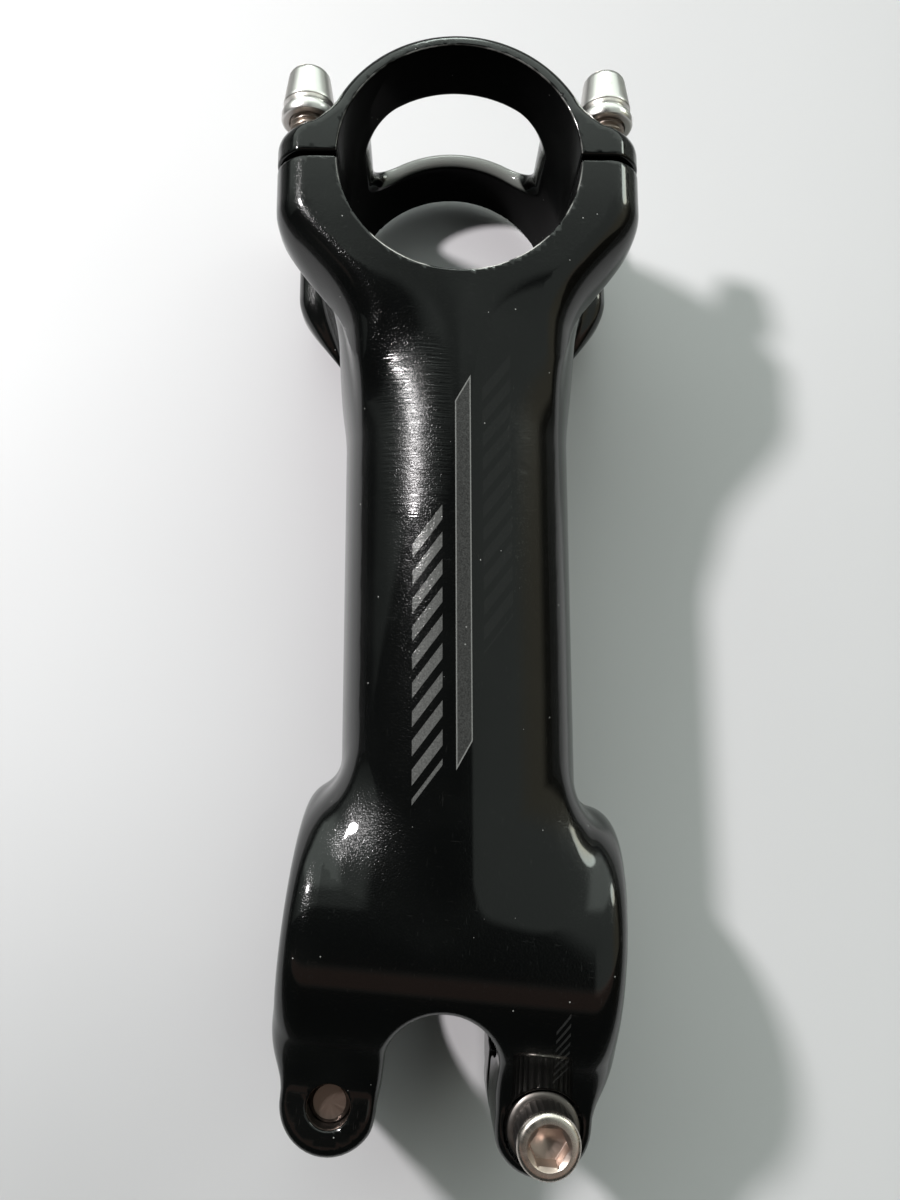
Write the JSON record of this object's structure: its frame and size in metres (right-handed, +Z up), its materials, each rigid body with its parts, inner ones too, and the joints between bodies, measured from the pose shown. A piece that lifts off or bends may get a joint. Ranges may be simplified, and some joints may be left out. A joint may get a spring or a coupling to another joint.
{
  "type": "bicycle handlebar stem",
  "caption": "Threadless bicycle stem in gloss black: forged body with a pinch clamp for the steerer, and a bolted faceplate with a window for the handlebar.",
  "frame": {"origin": "centre of the steerer bore, midway between the clamp's top and bottom faces", "axes": "+Z up along the steerer axis, +X forward towards the handlebar clamp, +Y to the rider's left, along the handlebar axis"},
  "size_m": [0.1427, 0.036, 0.0549],
  "materials": {
    "body_paint": "gloss",
    "faceplate_paint": "gloss",
    "faceplate_fastener_steel": "satin",
    "steerer_bolt_steel": "satin",
    "steerer_washer_steel": "satin"
  },
  "bodies": {
    "stem_body": {"stem_body": "body_paint"},
    "faceplate": {"faceplate": "faceplate_paint"},
    "faceplate_washer_top_left": {"faceplate_washer_top_left": "faceplate_fastener_steel"},
    "faceplate_bolt_top_left": {"faceplate_bolt_top_left": "faceplate_fastener_steel"},
    "faceplate_washer_top_right": {"faceplate_washer_top_right": "faceplate_fastener_steel"},
    "faceplate_bolt_top_right": {"faceplate_bolt_top_right": "faceplate_fastener_steel"},
    "faceplate_washer_bottom_left": {"faceplate_washer_bottom_left": "faceplate_fastener_steel"},
    "faceplate_bolt_bottom_left": {"faceplate_bolt_bottom_left": "faceplate_fastener_steel"},
    "faceplate_washer_bottom_right": {"faceplate_washer_bottom_right": "faceplate_fastener_steel"},
    "faceplate_bolt_bottom_right": {"faceplate_bolt_bottom_right": "faceplate_fastener_steel"},
    "steerer_washer_upper": {"steerer_washer_upper": "steerer_washer_steel"},
    "steerer_bolt_upper": {"steerer_bolt_upper": "steerer_bolt_steel"},
    "steerer_washer_lower": {"steerer_washer_lower": "steerer_washer_steel"},
    "steerer_bolt_lower": {"steerer_bolt_lower": "steerer_bolt_steel"}
  },
  "joints": [
    {"name": "faceplate_lift_off", "type": "slide", "parent": "stem_body", "child": "faceplate", "axis": [0.9945, 0, 0.1045], "range_m": [-0.0005, 0.03]},
    {"name": "faceplate_bolt_top_left_travel", "type": "slide", "parent": "faceplate", "child": "faceplate_washer_top_left", "axis": [0.9945, 0, 0.1045], "range_m": [-0.0024, 0.0056]},
    {"name": "faceplate_bolt_top_left_turn", "type": "hinge", "parent": "faceplate_washer_top_left", "child": "faceplate_bolt_top_left", "pos_m": [0.1028, 0.0124, 0.03022], "axis": [0.9945, 0, 0.1045], "range_deg": [-1081, 2521]},
    {"name": "faceplate_bolt_top_right_travel", "type": "slide", "parent": "faceplate", "child": "faceplate_washer_top_right", "axis": [0.9945, 0, 0.1045], "range_m": [-0.0024, 0.0056]},
    {"name": "faceplate_bolt_top_right_turn", "type": "hinge", "parent": "faceplate_washer_top_right", "child": "faceplate_bolt_top_right", "pos_m": [0.1028, -0.0124, 0.03022], "axis": [0.9945, 0, 0.1045], "range_deg": [-1081, 2521]},
    {"name": "faceplate_bolt_bottom_left_travel", "type": "slide", "parent": "faceplate", "child": "faceplate_washer_bottom_left", "axis": [0.9945, 0, 0.1045], "range_m": [-0.0024, 0.0056]},
    {"name": "faceplate_bolt_bottom_left_turn", "type": "hinge", "parent": "faceplate_washer_bottom_left", "child": "faceplate_bolt_bottom_left", "pos_m": [0.10704, 0.0124, -0.01016], "axis": [0.9945, 0, 0.1045], "range_deg": [-1081, 2521]},
    {"name": "faceplate_bolt_bottom_right_travel", "type": "slide", "parent": "faceplate", "child": "faceplate_washer_bottom_right", "axis": [0.9945, 0, 0.1045], "range_m": [-0.0024, 0.0056]},
    {"name": "faceplate_bolt_bottom_right_turn", "type": "hinge", "parent": "faceplate_washer_bottom_right", "child": "faceplate_bolt_bottom_right", "pos_m": [0.10704, -0.0124, -0.01016], "axis": [0.9945, 0, 0.1045], "range_deg": [-1081, 2521]},
    {"name": "steerer_bolt_upper_travel", "type": "slide", "parent": "stem_body", "child": "steerer_washer_upper", "axis": [0, 1, 0], "range_m": [0, 0.0072]},
    {"name": "steerer_bolt_upper_turn", "type": "hinge", "parent": "steerer_washer_upper", "child": "steerer_bolt_upper", "pos_m": [-0.019, 0.0105, 0.01265], "axis": [0, 1, 0], "range_deg": [-1, 3241]},
    {"name": "steerer_bolt_lower_travel", "type": "slide", "parent": "stem_body", "child": "steerer_washer_lower", "axis": [0, -1, 0], "range_m": [0, 0.0072]},
    {"name": "steerer_bolt_lower_turn", "type": "hinge", "parent": "steerer_washer_lower", "child": "steerer_bolt_lower", "pos_m": [-0.019, -0.0105, -0.01265], "axis": [0, -1, 0], "range_deg": [-1, 3241]}
  ],
  "couplings": [
    {"joint": "faceplate_bolt_top_left_turn", "follows": "faceplate_bolt_top_left_travel", "rad_per_m": 7854},
    {"joint": "faceplate_bolt_top_right_turn", "follows": "faceplate_bolt_top_right_travel", "rad_per_m": 7854},
    {"joint": "faceplate_bolt_bottom_left_turn", "follows": "faceplate_bolt_bottom_left_travel", "rad_per_m": 7854},
    {"joint": "faceplate_bolt_bottom_right_turn", "follows": "faceplate_bolt_bottom_right_travel", "rad_per_m": 7854},
    {"joint": "steerer_bolt_upper_turn", "follows": "steerer_bolt_upper_travel", "rad_per_m": 7854},
    {"joint": "steerer_bolt_lower_turn", "follows": "steerer_bolt_lower_travel", "rad_per_m": 7854}
  ]
}
